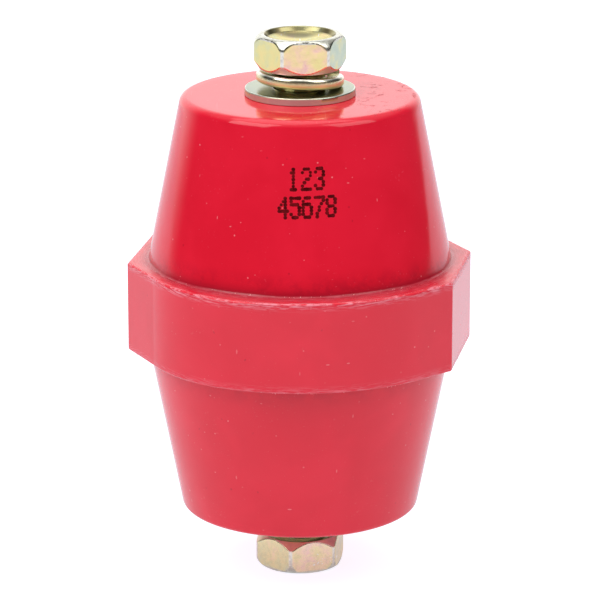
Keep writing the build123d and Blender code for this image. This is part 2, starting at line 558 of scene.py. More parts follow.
def half_body(rounding):
    """Rows (radius, depth below the end face, rim, crease shade) from the pocket to the middle; the
    last is painted shade.
    """
    hexagon = hexagon_radius(ANGLES, POCKET_FLATS, 0.0)
    rows = [(hexagon * k, POCKET_DEPTH) for k in (0.5, 1.0)]
    rows += [(hexagon, GROOVE_FAR), (GROOVE_RADIUS, GROOVE_FAR), (GROOVE_RADIUS, GROOVE_NEAR)]
    rows += [(hexagon, GROOVE_NEAR), (hexagon, 0.3 * MM), (hexagon, 0.05 * MM)]
    rows += [(hexagon + 0.05 * MM, 0.0)]
    flat_edge = END_RADIUS - rounding * math.tan((math.pi / 2 - SLOPE) / 2)
    rows += [(hexagon + (flat_edge - hexagon) * k, 0.0) for k in np.linspace(0.12, 1, 9)]
    rows += arc((flat_edge, rounding), rounding, -90, -math.degrees(SLOPE), 12)[1:]
    rows = [(r, z, 0.0, 0.0) for r, z in rows]
    leave, collar_top = rows[-1][1], BODY_HALF - COLLAR_HALF
    root, before = 0.4 * MM, collar_top - 0.33 * MM
    meet = END_RADIUS + collar_top * math.tan(SLOPE)
    for k in np.linspace(0, 1, 40)[1:]:
        z = leave + (before - leave) * k
        # Painted shade that grows towards the corner at the collar.
        darkening = max(0.0, 1 - (before - z) / (3.2 * MM)) ** 2
        rows.append((END_RADIUS + z * math.tan(SLOPE), z, 0.0, darkening))
    for k in (0.3, 0.6, 0.85, 1.0):
        angle = k * (math.pi / 2 - SLOPE)
        out = meet - 0.06 * MM + root * (1 - math.cos(angle)) * 1.05
        rows.append((out, before + 0.33 * MM * math.sin(angle) ** 0.8, 0.25 * k, 1.0))
    inner, rim = rows[-1][0], 0.3 * MM
    for k in (0.12, 0.3, 0.5, 0.7, 0.85):
        rows.append((inner + (COLLAR - rim - inner) * k, collar_top, 0.3, max(0.0, 1 - 0.95 * k)))
    # Pale rim: flash wear, and also a painted highlight.
    for r, z in arc((0.0, rim), rim, -90, 0, 7):
        rows.append((COLLAR - rim + r, collar_top + z, 1.0, 0.0))
    for z in np.linspace(collar_top + rim, BODY_HALF, 15)[1:-1]:
        rows.append((COLLAR, z, max(0.0, 1 - (z - collar_top - rim) / (0.9 * MM)), 0.0))
    return rows


def make_insulator_body():
    """The double cone with its collar, pockets, pale rims and painted shade where cone meets
    collar.
    """
    lower = half_body(0.9 * MM)
    # The lower half gets a weaker painted shade in its corner and a weaker pale rim, whose paleness
    # is partly a painted highlight.
    lower = [(r, LOWER_FACE + d, rim * 0.45, crease_shade * 0.4) for r, d, rim, crease_shade in lower]
    upper = [(r, UPPER_FACE - d, *wear_and_painted_light) for r, d, *wear_and_painted_light in half_body(1.2 * MM)]
    rows = lower + [(COLLAR, MIDDLE, 0.0, 0.0)] + upper[::-1]
    rings = rings_about_axis(ANGLES, [row[0] for row in rows], [row[1] for row in rows])
    mesh = shell_from_rings("insulator_body_moulding", rings)
    for label, column in (("rim", 2), ("crease_shade", 3)):
        values = np.repeat([row[column] for row in rows], len(ANGLES)).tolist() + [0.0, 0.0]
        mesh.attributes.new(label, "FLOAT", "POINT").data.foreach_set("value", values)
    return mesh


body_piece = finish_piece("insulator_moulding", make_insulator_body(), red_moulding,
                          "insulator")
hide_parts("insulator_body")

# %% [markdown]
# Yellow passivated zinc is a bright metal under a film so thin that it shows colours of its
# own: straw, green, peach and pink, drifting over a few millimetres. One group makes those
# drifting colours from noise. The mesh carries four numbers for each place: warmth moves the
# film from green to pink; plain turns it to pale grey zinc, partly where it is rubbed down on
# corners and partly as a painted highlight and painted lightening; the third turns it dark
# brown as painted shade in hollows, under the heads, on the necks and on the washers; and
# matte is where the metal is torn and rough.

# %% Groups for the plated metal
def make_film_group():
    """Colours of a thin passivation film over zinc."""
    group, given, result = new_group(
        "passivation_film",
        [("Place", "NodeSocketVector", None), ("Drift per metre", "NodeSocketFloat", 260.0),
         ("Warmth", "NodeSocketFloat", 0.5)],
        [("Color", "NodeSocketColor"), ("Patch", "NodeSocketFloat")],
    )
    place, drift, warmth = [given.outputs[k] for k in range(3)]
    slow = noise(group, place, drift, detail=5.0, roughness=0.62, distortion=0.25)
    spread = maths(group, "MULTIPLY_ADD", maths(group, "SUBTRACT", slow, 0.5), 1.15, warmth)
    film = colour_ramp(group, spread, [
        (0.00, (0.50, 0.60, 0.48)), (0.16, (0.60, 0.67, 0.50)), (0.40, (0.80, 0.74, 0.34)),
        (0.56, (0.90, 0.76, 0.33)), (0.70, (0.97, 0.73, 0.42)), (0.86, (0.96, 0.63, 0.52)),
        (1.00, (0.84, 0.50, 0.50)),
    ])
    link(group, film, result.inputs[0])
    link(group, slow, result.inputs[1])
    return group


def make_dent_group():
    """Small forging dents and pits, as a height."""
    group, given, result = new_group(
        "forging_dents",
        [("Place", "NodeSocketVector", None), ("Dents per metre", "NodeSocketFloat", 700.0)],
        [("Height", "NodeSocketFloat")],
    )
    place, per_metre = given.outputs[0], given.outputs[1]
    broad = noise(group, place, per_metre, detail=1.5, roughness=0.5)
    fine = noise(group, place, times(group, per_metre, 5.0), detail=2.0, roughness=0.6)
    link(group, plus(group, broad, times(group, fine, 0.06)), result.inputs[0])
    return group


film_group, dent_group = make_film_group(), make_dent_group()


def make_plated(name, drift, roughness, dent_height):
    """A yellow passivated zinc finish; the mesh says where it is made pale grey, partly wear and
    partly painted highlight, and where it gets painted shade.
    """
    material, tree, shader, place = new_material(name, Metallic=1.0)
    film = use_group(tree, film_group, Place=place, Drift_per_metre=drift,
                     Warmth=attribute(tree, "warmth"))
    rubs = use_group(tree, rub_group, Place=place, Share=0.9).outputs[0]
    dark_patch = smooth_step(tree, noise(tree, place, 1400.0, 4.0, 0.7), 0.44, 0.60)
    plain, painted_shade, matte = [attribute(tree, label) for label in ("plain", "painted_shade", "matte")]
    # Pale grey zinc where the plain number is high: worn corners, and also a painted highlight on
    # tops and edges and a painted lightening of the whole lower bolt.
    colour = colour_mix(tree, times(tree, plain, 0.85), film.outputs["Color"], (0.86, 0.87, 0.83))
    colour = colour_mix(tree, rubs, colour, (0.95, 0.94, 0.88))
    stained = times(tree, times(tree, plain, dark_patch), 0.35)
    colour = colour_mix(tree, stained, colour, (0.30, 0.29, 0.23))
    # Dark brown where the mesh asks for painted shade: in the dish, under the head, on the neck, on
    # the washers and at the spring washer's ends.
    colour = colour_mix(tree, painted_shade, colour, (0.14, 0.13, 0.075))
    link(tree, colour, shader.inputs["Base Color"])
    spread = maths(tree, "MULTIPLY_ADD", film.outputs["Patch"], 0.16, roughness - 0.08)
    spread = plus(tree, spread, times(tree, matte, 0.30), clamp=True)
    link(tree, spread, shader.inputs["Roughness"])
    metal = maths(tree, "SUBTRACT", 1.0, times(tree, matte, 0.8))
    link(tree, metal, shader.inputs["Metallic"])
    height = use_group(tree, dent_group, Place=place, Dents_per_metre=520.0).outputs[0]
    link(tree, bumped(tree, height, dent_height), shader.inputs["Normal"])
    return material


bolt_plate = make_plated("bolt_plating", 420.0, 0.22, 0.00004)
spring_plate = make_plated("spring_washer_plating", 260.0, 0.20, 0.00003)
washer_plate = make_plated("flat_washer_plating", 150.0, 0.24, 0.000012)
print("plated finishes:", bolt_plate.name, spring_plate.name, washer_plate.name)


def give_finish(mesh, warmth, plain, painted_shade, matte):
    """Stores the four finish numbers on a mesh's points."""
    for label, values in (("warmth", warmth), ("plain", plain), ("painted_shade", painted_shade), ("matte", matte)):
        numbers = np.broadcast_to(np.asarray(values, float), len(mesh.vertices)).tolist()
        mesh.attributes.new(label, "FLOAT", "POINT").data.foreach_set("value", numbers)


# %% [markdown]
# The inserts are plain turned brass, dull inside the body and seen only when a bolt is drawn
# out. Fine rings left by the cutting tool run round the axis, so the height of the bump
# depends on the distance from that axis and on the height along it.

# %% The brass
TOOL_RING_SPACING = 0.12 * MM


def make_brass():
    """Dull turned brass with tool rings."""
    material, tree, shader, place = new_material("turned_brass", Metallic=1.0)
    cloud = use_group(tree, cloud_group, Place=place, Patches_per_metre=240.0).outputs[0]
    rubs = use_group(tree, rub_group, Place=place, Share=0.5).outputs[0]
    colour = colour_mix(tree, cloud, (0.78, 0.56, 0.24), (0.66, 0.45, 0.20))
    link(tree, colour_mix(tree, rubs, colour, (0.90, 0.74, 0.42)), shader.inputs["Base Color"])
    link(tree, maths(tree, "MULTIPLY_ADD", cloud, 0.18, 0.26), shader.inputs["Roughness"])
    x, y, z = split_xyz(tree, place)
    along = plus(tree, axis_distance(tree, x, y), z)
    rings = maths(tree, "SINE", times(tree, along, 2 * math.pi / TOOL_RING_SPACING))
    link(tree, bumped(tree, rings, 0.000004), shader.inputs["Normal"])
    return material


turned_brass = make_brass()

# %% [markdown]
# A screw thread is a rule: as you go once round the axis, its ridge climbs by one pitch. That
# makes it a job for Geometry Nodes. The tree takes a plain round shank or bore with close
# rows of points and pushes each point towards the axis by an amount that depends on its
# height less its share of a turn. Bolts and inserts use the same tree, so they are in mesh
# wherever a bolt stands, because its turning and its travel are coupled by the same pitch.

# %% A Geometry Nodes tree that cuts a right-hand thread
def new_geometry_tree(name, inputs):
    """An empty Geometry Nodes tree with a Geometry input and named inputs."""
    tree = bpy.data.node_groups.new(name, "GeometryNodeTree")
    tree.interface.new_socket("Geometry", in_out="INPUT", socket_type="NodeSocketGeometry")
    for label, kind, value in inputs:
        socket = tree.interface.new_socket(label, in_out="INPUT", socket_type=kind)
        if value is not None:
            socket.default_value = value
    tree.interface.new_socket("Geometry", in_out="OUTPUT", socket_type="NodeSocketGeometry")
    given, result = tree.nodes.new("NodeGroupInput"), tree.nodes.new("NodeGroupOutput")
    return tree, {s.name: s for s in given.outputs}, result


def close_tree(tree, geometry, material, result):
    """Ends a tree in Realize Instances and Set Material."""
    real = tree.nodes.new("GeometryNodeRealizeInstances")
    paint = tree.nodes.new("GeometryNodeSetMaterial")
    link(tree, geometry, real.inputs["Geometry"])
    link(tree, real.outputs["Geometry"], paint.inputs["Geometry"])
    link(tree, material, paint.inputs["Material"])
    link(tree, paint.outputs["Geometry"], result.inputs["Geometry"])


def run_tree(mesh, tree, **values):
    """Runs a tree on a mesh and returns the plain mesh that it makes."""
    holder = bpy.data.objects.new("holder", mesh)
    bpy.context.scene.collection.objects.link(holder)
    modifier = holder.modifiers.new(tree.name, "NODES")
    modifier.node_group = tree
    sockets = {s.name: s.identifier for s in tree.interface.items_tree if s.in_out == "INPUT"}
    for label, value in values.items():
        modifier[sockets[label.replace("_", " ")]] = value
    graph = bpy.context.evaluated_depsgraph_get()
    made = bpy.data.meshes.new_from_object(holder.evaluated_get(graph), depsgraph=graph)
    holder.modifiers.remove(modifier)
    bpy.data.objects.remove(holder)
    return made


def make_thread_tree():
    """Pushes the points of a round wall inwards along a right-hand helix."""
    tree, given, result = new_geometry_tree("cut_thread", [
        ("Pitch", "NodeSocketFloat", PITCH), ("Depth", "NodeSocketFloat", THREAD_DEPTH),
        ("From", "NodeSocketFloat", 0.0), ("To", "NodeSocketFloat", 0.01),
        ("Run out", "NodeSocketFloat", 0.0008), ("Wall radius", "NodeSocketFloat", 0.004),
        ("Material", "NodeSocketMaterial", None),
    ])
    crest_share, flank_share = 0.14, 0.62
    x, y, z = split_xyz(tree, tree.nodes.new("GeometryNodeInputPosition").outputs[0])
    turn = maths(tree, "DIVIDE", maths(tree, "ARCTAN2", y, x), 2 * math.pi)
    phase = maths(tree, "SUBTRACT", maths(tree, "DIVIDE", z, given["Pitch"]), turn)
    centred = maths(tree, "SUBTRACT", times(tree, maths(tree, "FRACT", phase), 2.0), 1.0)
    past_crest = maths(tree, "SUBTRACT", maths(tree, "ABSOLUTE", centred), crest_share)
    flank = maths(tree, "DIVIDE", past_crest, flank_share, clamp=True)
    fades = []
    for high, low in ((z, given["From"]), (given["To"], z)):
        gap = maths(tree, "SUBTRACT", high, low)
        fades.append(maths(tree, "DIVIDE", gap, given["Run out"], clamp=True))
    radius = axis_distance(tree, x, y)
    off_wall = maths(tree, "ABSOLUTE", maths(tree, "SUBTRACT", radius, given["Wall radius"]))
    on_wall = maths(tree, "LESS_THAN", off_wall, 0.0001)
    depth = times(tree, flank, given["Depth"])
    for factor in (*fades, on_wall):
        depth = times(tree, depth, factor)
    share = maths(tree, "DIVIDE", depth, maths(tree, "MAXIMUM", radius, 0.0001))
    share = times(tree, share, -1.0)
    inward = combine_xyz(tree, times(tree, x, share), times(tree, y, share), 0.0)
    move = tree.nodes.new("GeometryNodeSetPosition")
    link(tree, given["Geometry"], move.inputs["Geometry"])
    link(tree, inward, move.inputs["Offset"])
    close_tree(tree, move.outputs["Geometry"], given["Material"], result)
    return tree


thread_tree = make_thread_tree()
print("tree", thread_tree.name, "has", len(thread_tree.nodes), "nodes")


# %% [markdown]
# The bolt is cold forged from wire: a hexagon whose corners and ends are rounded by the die,
# with a deep dish pressed into its end, on a shank whose neck is thinner than the thread so
# that the washers cannot fall off. Each ring of the head takes the smaller of two radii, the
# hexagon's and that of a round envelope, and where the two cross, the curved outline of each
# flat appears by itself, as it does on the real head.

# %% The bolts
BOLT_ANGLES = np.radians(np.arange(0, 360, 1.5))
HEAD_FLATS, SHANK_RADIUS, BORE_RADIUS = 11.6 * MM, 3.97 * MM, 4.05 * MM
FLATS_ABOVE = np.array([0.46, 0.60, 0.36, 0.44, 0.70, 0.14])
FLATS_BELOW = np.array([0.30, 0.46, 0.74, 0.45, 0.66, 0.45])


def head_rows(turn_deg):
    """Rows (radius, height above the bearing face) over the head to the dish's middle."""
    hexagon = hexagon_radius(BOLT_ANGLES, HEAD_FLATS, turn_deg)
    outline = [(5.5, 0.0), (5.72, 0.02)]
    outline += run((5.72, 0.02), (6.5, 1.15), 10) + run((6.5, 1.15), (6.5, 3.3), 9)
    for t in np.linspace(0, math.pi / 2, 15)[1:]:
        outline.append((5.35 + 1.15 * math.cos(t) ** 0.9, 3.3 + 1.5 * math.sin(t) ** 1.12))
    rows = [(soft_least(hexagon, r * MM, 0.06 * MM), z * MM) for r, z in outline]
    rows += [(r * MM, z * MM) for r, z in ((5.28, 4.8), (5.15, 4.8), (5.06, 4.79), (5.0, 4.75))]
    rows += [(r * MM, z * MM) for r, z in run((5.0, 4.75), (4.62, 4.2), 5)]
    for t in np.linspace(0, 1, 14)[1:]:
        sunk = 0.72 * math.sin(t * math.pi / 2) ** 0.8
        rows.append(((4.62 * (1 - t) + 0.3 * t) * MM, (4.2 - sunk) * MM))
    return rows


def shank_rows():
    """Rows (radius, height) from the tip up to the bearing face."""
    rows = [(1.2, -16.0), (2.4, -16.0), (3.1, -16.0)] + run((3.17, -16.0), (3.97, -15.2), 5)
    rows += run((3.97, -15.2), (3.97, -5.6), 128)
    rows += run((3.97, -5.6), (3.55, -5.0), 5) + run((3.55, -5.0), (3.55, -0.35), 8)
    rows += arc((3.85, -0.3), 0.3, 180, 90, 5) + [(4.6, 0.0)]
    return [(r * MM, z * MM) for r, z in rows]


def finish_bolt(mesh, turn_deg, bearing_height, sense):
    """Gives each flat its own film, pale zinc on the corners as wear and painted highlight, and
    painted shade in the dish, under the head and on the shank.
    """
    place = np.array([v.co for v in mesh.vertices])
    radius, angle = np.hypot(place[:, 0], place[:, 1]), np.arctan2(place[:, 1], place[:, 0])
    height = (place[:, 2] - bearing_height) * sense
    hexagon = hexagon_radius(angle, HEAD_FLATS, turn_deg)
    flat = np.floor(((np.degrees(angle) - turn_deg) % 360) / 60).astype(int)
    films = FLATS_ABOVE if sense > 0 else FLATS_BELOW
    outside = (height > 0) & (radius > 5.02 * MM)
    on_flat = outside & (np.abs(radius - hexagon) < 0.035 * MM) & (height < 4.4 * MM)
    dish = (height > 2 * MM) & (radius <= 5.02 * MM)
    wall = dish & (radius > 4.5 * MM)
    warmth = np.where(height > 1.2 * MM, 0.5, np.where(height > 0, 0.85, 0.42))
    warmth = np.where(on_flat, films[flat], warmth)
    # Corners and crown are made pale as wear and painted highlight; the lower bolt is lightened all
    # over as painted light.
    plain = np.where(outside & ~on_flat & (height > 1.2 * MM), 1.0, 0.0 if sense > 0 else 0.30)
    # Painted shade in the dish, on the shank and neck, under the head and on its rounded top edge;
    # a painted dark patch lies on the dish's floor towards the back.
    painted_shade = np.where(wall, 0.70, np.where(height <= 0, 0.38, 0.0))
    across, deep = place[:, 0] + 0.4 * MM, place[:, 1] - 3.2 * MM * sense
    dark_patch = np.hypot(across / (2.3 * MM), deep / (0.85 * MM))
    painted_shade = np.where(dish & ~wall, 0.75 * np.clip(1.6 - dark_patch, 0, 1) + 0.06, painted_shade)
    under = outside & ~on_flat & (height <= 1.2 * MM)
    shoulder = outside & ~on_flat & (height > 3.4 * MM)
    painted_shade = np.where(under, 0.12, np.where(shoulder, 0.22, painted_shade))
    give_finish(mesh, warmth, plain, painted_shade, np.where(under, 0.45, 0.0))


def make_bolt(name, turn_deg, bearing_height, sense, body):
    """One bolt; sense is 1 for head up and -1 for head down."""
    rows = shank_rows() + head_rows(turn_deg)
    heights = [bearing_height + sense * z for _, z in rows]
    rings = rings_about_axis(BOLT_ANGLES, [r for r, _ in rows], heights)
    ends = sorted((bearing_height - sense * 5.3 * MM, bearing_height - sense * 15.6 * MM))
    mesh = run_tree(shell_from_rings(name, rings), thread_tree, From=ends[0], To=ends[1],
                    Wall_radius=SHANK_RADIUS, Material=bolt_plate)
    finish_bolt(mesh, turn_deg, bearing_height, sense)
    piece = finish_piece(name, mesh, bolt_plate, body, smooth_deg=28)
    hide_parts(body)


make_bolt("upper_bolt_plated", 7.3, UPPER_FACE + UPPER_STACK, 1, "upper_bolt")
make_bolt("lower_bolt_plated", 18.2, LOWER_FACE - LOWER_STACK, -1, "lower_bolt")


# %% [markdown]
# Each insert is a length of hexagon bar, so the moulding keeps it from turning, with a groove
# that keeps it from pulling out. Only its end shows, and that only with the bolt drawn out:
# a coned mouth and the first turns of thread.

# %% The brass inserts
def insert_rows():
    """Rows (radius, depth below the end face) from the buried end round to the bore's end."""
    hexagon = hexagon_radius(BOLT_ANGLES, 12.0 * MM, 0.0)
    rows = [(hexagon * k, 16.0 * MM) for k in (0.5, 1.0)]
    rows += [(hexagon, 9.0 * MM), (5.2 * MM, 9.0 * MM), (5.2 * MM, 6.5 * MM), (hexagon, 6.5 * MM)]
    rows += [(hexagon, 0.12 * MM), (hexagon - 0.12 * MM, 0.0), (5.2 * MM, 0.0), (4.6 * MM, 0.0)]
    wall = run((4.6, 0.0), (4.05, 0.55), 5) + run((4.05, 0.55), (4.05, 13.2), 168)
    wall += run((4.05, 13.2), (0.4, 14.4), 5)
    return rows + [(r * MM, z * MM) for r, z in wall]


def make_insert(name, face, sense, node):
    """One insert in the face at that height, its bore pointing the way sense says."""
    rows = insert_rows()
    rings = rings_about_axis(BOLT_ANGLES, [r for r, _ in rows], [face - sense * z for _, z in rows])
    ends = sorted((face - sense * 0.35 * MM, face - sense * 13.0 * MM))
    mesh = run_tree(shell_from_rings(name, rings), thread_tree, From=ends[0], To=ends[1],
                    Wall_radius=BORE_RADIUS, Material=turned_brass)
    piece = finish_piece(name, mesh, turned_brass, "insulator", smooth_deg=40)
    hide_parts(node)


make_insert("upper_insert_brass", UPPER_FACE, 1, "upper_insert")
make_insert("lower_insert_brass", LOWER_FACE, -1, "lower_insert")


# %% [markdown]
# A flat washer is punched from strip. The punch rounds the edge it enters by and tears the
# edge it leaves by, so the upper rim is soft and the lower one keeps a small burr. The ring's
# section is swept round the axis and closed on itself.

# %% The flat washers
def washer_section():
    """Closed loop (radius, height) round the section of a flat washer."""
    loop = [(7.72, 0.0), (7.8, 0.035), (7.79, 0.3), (7.775, 0.78)]
    loop += arc((7.575, 0.8), 0.2, 0, 90, 6)
    loop += [(6.8, 1.0), (5.6, 1.0), (4.4, 1.0)]
    loop += arc((3.87, 0.88), 0.12, 90, 180, 4)
    loop += [(3.75, 0.4), (3.76, 0.04), (3.84, 0.0), (5.0, 0.0), (6.4, 0.0)]
    return [(r * MM, z * MM) for r, z in loop]


def make_flat_washer(name, face, sense, body):
    """A flat washer resting on the face at that height."""
    angles = np.radians(np.arange(0, 360, 2.0))
    wobble = 0.02 * MM * (np.sin(3 * angles + 0.7) + 0.5 * np.sin(7 * angles))
    start = face + sense * 0.03 * MM
    loop = washer_section()
    radii = [r + wobble - 0.02 * MM if r > 7 * MM else r for r, _ in loop]
    rings = rings_about_axis(angles, radii, [start + sense * z for _, z in loop])
    mesh = shell_from_rings(name, rings, wrap_rows=True)
    place = np.array([v.co for v in mesh.vertices])
    radius, height = np.hypot(place[:, 0], place[:, 1]), (place[:, 2] - start) * sense
    side = (radius > 7.74 * MM) & (height < 0.9 * MM)
    edge = (radius > 7.6 * MM) & (height > 0.93 * MM)
    # The rounded upper edge is made pale as a painted highlight, and the top face and side are
    # darkened as painted shade.
    give_finish(mesh, np.where(side, 1.0, 0.08), np.where(edge, 1.0, 0.0),
                np.where(edge, 0.0, np.where(side, 0.35, 0.42)), np.where(side, 0.8, 0.0))
    piece = finish_piece(name, mesh, washer_plate, body, smooth_deg=40)
    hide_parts(body)


make_flat_washer("upper_flat_washer_plated", UPPER_FACE, 1, "upper_flat_washer")
make_flat_washer("lower_flat_washer_plated", LOWER_FACE, -1, "lower_flat_washer")


# %% [markdown]
# A spring washer is one turn of square wire coiled the opposite way to the thread and cut
# through, so that its two sharp ends bite when the bolt tries to turn back. The section is
# carried along a left-hand helix, and the two cut ends are flat, slanted and slightly proud.

# %% The spring washers
def spring_section():
    """Closed loop (outwards, upwards) round the wire's section, corners rounded."""
    w, h, c = 1.125, 0.8, 0.5
    loop = []
    for sx, sy, start in ((1, -1, -90), (1, 1, 0), (-1, 1, 90), (-1, -1, 180)):
        loop += arc((sx * (w - c), sy * (h - c)), c, start, start + 90, 5)
    return np.array(loop) * MM


def make_spring_washer(name, rise, start_deg, lean_deg, base, sense, body):
    """One turn of wire, leaned as the CAD solid is, with its lowest point at base."""
    section, steps, mean = spring_section(), 140, 5.025 * MM
    rings = []
    for k in range(steps + 1):
        share = 0.96 * k / steps
        slant = 0.16 * (1 if k == 0 else -1 if k == steps else 0)
        ring = []
        for out, up in section:
            turn = -2 * math.pi * share - slant * up / mean
            r = mean + out
            ring.append((r * math.cos(turn), r * math.sin(turn), rise * share + up))
        rings.append(ring)
    turns = zip((*lean_deg, start_deg), "XYZ")
    tip_x, tip_y, spin = [Matrix.Rotation(math.radians(a), 3, axis) for a, axis in turns]
    rings = np.array(rings) @ np.array(tip_x @ tip_y @ spin).T
    rings[..., 2] -= rings[..., 2].min()
    if sense < 0:
        rings[..., 1:] *= -1
    rings[..., 2] += base
    mesh = shell_from_rings(name, rings)
    caps = [0.0, 0.0]
    upward = np.append(np.tile(section[:, 1] / (0.8 * MM), steps + 1), caps)
    near_end = [float(k < 2 or k > steps - 2) for k in range(steps + 1)]
    ends = np.append(np.repeat(near_end, len(section)), [1.0, 1.0])
    # The wire's upper side is made pale as a painted highlight, and its cut ends dark as painted
    # shade.
    give_finish(mesh, 0.47, np.clip(upward * 1.8 - 0.3, 0, 1), ends * 0.7,
                np.clip(-upward * 1.3, 0, 0.55))
    piece = finish_piece(name, mesh, spring_plate, body, smooth_deg=38)
    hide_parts(body)
    return piece


upper_spring = make_spring_washer("upper_spring_washer_plated", 1.12 * MM, 12, (-3.2, 1.0),
                                  UPPER_FACE + 1.06 * MM, 1, "upper_spring_washer")
lower_spring = make_spring_washer("lower_spring_washer_plated", 1.58 * MM, 200, (0, 0),
                                  LOWER_FACE - 1.06 * MM, -1, "lower_spring_washer")
for piece, node in ((upper_spring, "upper_spring_washer"), (lower_spring, "lower_spring_washer")):
    low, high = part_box(node)
    heights = [v.co.z for v in piece.data.vertices]
    print(node, "CAD z", round(low.z / MM, 2), round(high.z / MM, 2),
          "piece z", round(min(heights) / MM, 2), round(max(heights) / MM, 2))


# %% [markdown]
# Makers print a batch code on the cone with an ink jet, which throws a grid of round dots.
# The code here is a plain run of digits. A point is laid on the cone for every dot, and a
# Geometry Nodes tree sets a thin, slightly uneven drop of ink on each, facing outwards.

# %% The batch code's dots
DIGITS = {
    "1": "00100 01100 00100 00100 00100 00100 01110",
    "2": "01110 10001 00001 00110 01000 10000 11111",
    "3": "01110 10001 00001 00110 00001 10001 01110",
    "4": "00010 00110 01010 10010 11111 00010 00010",
    "5": "11111 10000 11110 00001 00001 10001 01110",
    "6": "01110 10000 11110 10001 10001 10001 01110",
    "7": "11111 00001 00010 00100 00100 01000 01000",
    "8": "01110 10001 10001 01110 10001 10001 01110",
}


def code_points(text, left, top, across, down, gap):
    """Places (x, height) of a line's dots, in millimetres from its top left."""
    found = []
    for n, digit in enumerate(text):
        for row, bits in enumerate(DIGITS[digit].split()):
            for column, bit in enumerate(bits):
                if bit == "1":
                    x = left + n * (4 * across + gap) + column * across
                    found.append((x, top - row * down + 0.03 * x))
    return found


def make_ink_tree():
    """A thin drop on each point, its flat side on the surface."""
    tree, given, result = new_geometry_tree("ink_drops", [
        ("Drop radius", "NodeSocketFloat", 0.0002), ("Thickness", "NodeSocketFloat", 0.12),
        ("Seed", "NodeSocketInt", 4), ("Material", "NodeSocketMaterial", None),
    ])
    drop = tree.nodes.new("GeometryNodeMeshUVSphere")
    drop.inputs["Segments"].default_value, drop.inputs["Rings"].default_value = 10, 6
    link(tree, given["Drop radius"], drop.inputs["Radius"])
    outward = tree.nodes.new("GeometryNodeInputNamedAttribute")
    outward.data_type = "FLOAT_VECTOR"
    outward.inputs["Name"].default_value = "outward"
    aim = tree.nodes.new("FunctionNodeAlignRotationToVector")
    aim.axis = "Z"
    link(tree, outward.outputs["Attribute"], aim.inputs["Vector"])
    size = tree.nodes.new("FunctionNodeRandomValue")
    size.data_type = "FLOAT"
    size.inputs[2].default_value, size.inputs[3].default_value = 0.84, 1.14
    link(tree, given["Seed"], size.inputs["Seed"])
    flat = combine_xyz(tree, size.outputs[1], size.outputs[1], given["Thickness"])
    points = tree.nodes.new("GeometryNodeMeshToPoints")
    link(tree, given["Geometry"], points.inputs["Mesh"])
    place = tree.nodes.new("GeometryNodeInstanceOnPoints")
    link(tree, points.outputs["Points"], place.inputs["Points"])
    link(tree, drop.outputs["Mesh"], place.inputs["Instance"])
    link(tree, aim.outputs["Rotation"], place.inputs["Rotation"])
    link(tree, flat, place.inputs["Scale"])
    close_tree(tree, place.outputs["Instances"], given["Material"], result)
    return tree


def make_ink():
    """Black jet ink that lets a little of the red through."""
    material, tree, shader, place = new_material("jet_ink", IOR=1.2)
    patch = noise(tree, place, 1500.0, detail=2.0)
    thin = smooth_step(tree, patch, 0.3, 0.75)
    colour = colour_mix(tree, thin, (0.060, 0.0004, 0.0012), (0.17, 0.001, 0.004))
    link(tree, colour, shader.inputs["Base Color"])
    link(tree, smooth_step(tree, patch, 0.2, 0.8, 0.32, 0.55), shader.inputs["Roughness"])
    link(tree, bumped(tree, patch, 0.00001), shader.inputs["Normal"])
    return material


def make_batch_code():
    """Lays the dots of both lines on the upper cone, facing the front."""
    dots = code_points("123", -1.45, 62.85, 0.27, 0.45, 0.70)
    dots += code_points("45678", -2.85, 59.0, 0.28, 0.43, 0.52)
    places, facing = [], []
    for x, z in dots:
        z *= MM
        radius = END_RADIUS + (UPPER_FACE - z) * math.tan(SLOPE)
        angle = -math.pi / 2 + x * MM / radius
        round_x, round_y = math.cos(angle), math.sin(angle)
        out = Vector((round_x * math.cos(SLOPE), round_y * math.cos(SLOPE), math.sin(SLOPE)))
        spot = Vector((radius * round_x, radius * round_y, z))
        places.append(spot + out * 0.004 * MM)
        facing.append(out)
    mesh = bpy.data.meshes.new("code_dots")
    mesh.from_pydata(places, [], [])
    aim = mesh.attributes.new("outward", "FLOAT_VECTOR", "POINT")
    aim.data.foreach_set("vector", [c for v in facing for c in v])
    made = run_tree(mesh, make_ink_tree(), Drop_radius=0.26 * MM, Thickness=0.07, Seed=4,
                    Material=jet_ink)
    print("batch code:", len(dots), "dots")
    return made


jet_ink = make_ink()
finish_piece("batch_code_ink", make_batch_code(), jet_ink, "insulator")


# %% [markdown]
# Where the mould closes round the collar, a skin of flash forms and is knocked off, leaving
# pale crumbs along the rims and in the corner where the cone meets the collar. A tree walks
# along a line of points and drops a small irregular crumb at some of them.

